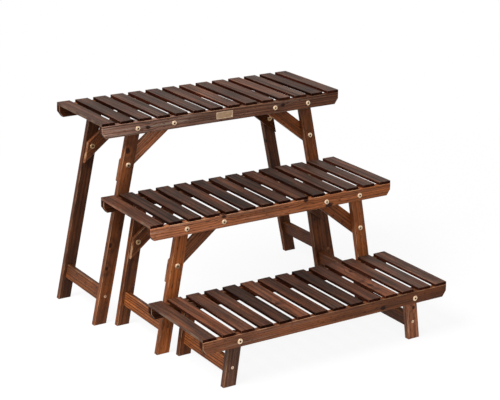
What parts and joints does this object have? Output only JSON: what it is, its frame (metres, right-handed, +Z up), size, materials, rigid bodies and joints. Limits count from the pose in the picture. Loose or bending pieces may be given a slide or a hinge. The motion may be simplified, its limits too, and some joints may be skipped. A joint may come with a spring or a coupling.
{
  "type": "tiered plant stand",
  "caption": "Tiered plant stand of nested slatted benches, tall to small, on splayed and braced wooden legs; benches pull forward and the lowest folds its legs.",
  "frame": {"origin": "on the floor, at the middle of the whole set, which is also the middle bench's middle", "axes": "+X along the slatted tops, to the right seen from the front; +Y from the small bench at the front to the tall one at the back; +Z up"},
  "size_m": [0.8582, 0.8394, 0.6],
  "materials": {
    "slat_wood": "carbonised, dull",
    "frame_wood": "carbonised, dull",
    "brass": "satin",
    "nail_steel": "dull"
  },
  "bodies": {
    "tall_bench": {"tall_back_left_brace": "frame_wood", "tall_back_left_leg": "frame_wood", "tall_back_rail": "frame_wood", "tall_back_right_brace": "frame_wood", "tall_back_right_leg": "frame_wood", "tall_brace_bolts": "brass", "tall_brace_nuts": "brass", "tall_front_left_brace": "frame_wood", "tall_front_left_leg": "frame_wood", "tall_front_rail": "frame_wood", "tall_front_right_brace": "frame_wood", "tall_front_right_leg": "frame_wood", "tall_left_stretcher": "frame_wood", "tall_left_stretcher_screws": "brass", "tall_pivot_bolts": "brass", "tall_pivot_nuts": "brass", "tall_right_stretcher": "frame_wood", "tall_right_stretcher_screws": "brass", "tall_slat_nails": "nail_steel", "tall_slats": "slat_wood", "tall_spacers": "frame_wood"},
    "middle_bench": {"middle_back_left_brace": "frame_wood", "middle_back_left_leg": "frame_wood", "middle_back_rail": "frame_wood", "middle_back_right_brace": "frame_wood", "middle_back_right_leg": "frame_wood", "middle_brace_bolts": "brass", "middle_brace_nuts": "brass", "middle_front_left_brace": "frame_wood", "middle_front_left_leg": "frame_wood", "middle_front_rail": "frame_wood", "middle_front_right_brace": "frame_wood", "middle_front_right_leg": "frame_wood", "middle_left_stretcher": "frame_wood", "middle_left_stretcher_screws": "brass", "middle_pivot_bolts": "brass", "middle_pivot_nuts": "brass", "middle_right_stretcher": "frame_wood", "middle_right_stretcher_screws": "brass", "middle_slat_nails": "nail_steel", "middle_slats": "slat_wood", "middle_spacers": "frame_wood"},
    "small_bench": {"small_back_rail": "frame_wood", "small_front_rail": "frame_wood", "small_pivot_bolts": "brass", "small_pivot_nuts": "brass", "small_slat_nails": "nail_steel", "small_slats": "slat_wood"},
    "small_left_leg_frame": {"small_front_left_leg": "frame_wood", "small_back_left_leg": "frame_wood", "small_left_stretcher": "frame_wood", "small_left_stretcher_screws": "brass"},
    "small_right_leg_frame": {"small_front_right_leg": "frame_wood", "small_back_right_leg": "frame_wood", "small_right_stretcher": "frame_wood", "small_right_stretcher_screws": "brass"}
  },
  "joints": [
    {"name": "middle_slide", "type": "slide", "parent": "tall_bench", "child": "middle_bench", "axis": [0, -1, 0], "range_m": [0, 0.3]},
    {"name": "small_slide", "type": "slide", "parent": "middle_bench", "child": "small_bench", "axis": [0, -1, 0], "range_m": [0, 0.3]},
    {"name": "small_left_fold", "type": "hinge", "parent": "small_bench", "child": "small_left_leg_frame", "pos_m": [-0.288, -0.2723, 0.1325], "axis": [0, -1, 0], "range_deg": [0, 98]},
    {"name": "small_right_fold", "type": "hinge", "parent": "small_bench", "child": "small_right_leg_frame", "pos_m": [0.288, -0.2723, 0.1325], "axis": [0, 1, 0], "range_deg": [0, 98]}
  ]
}
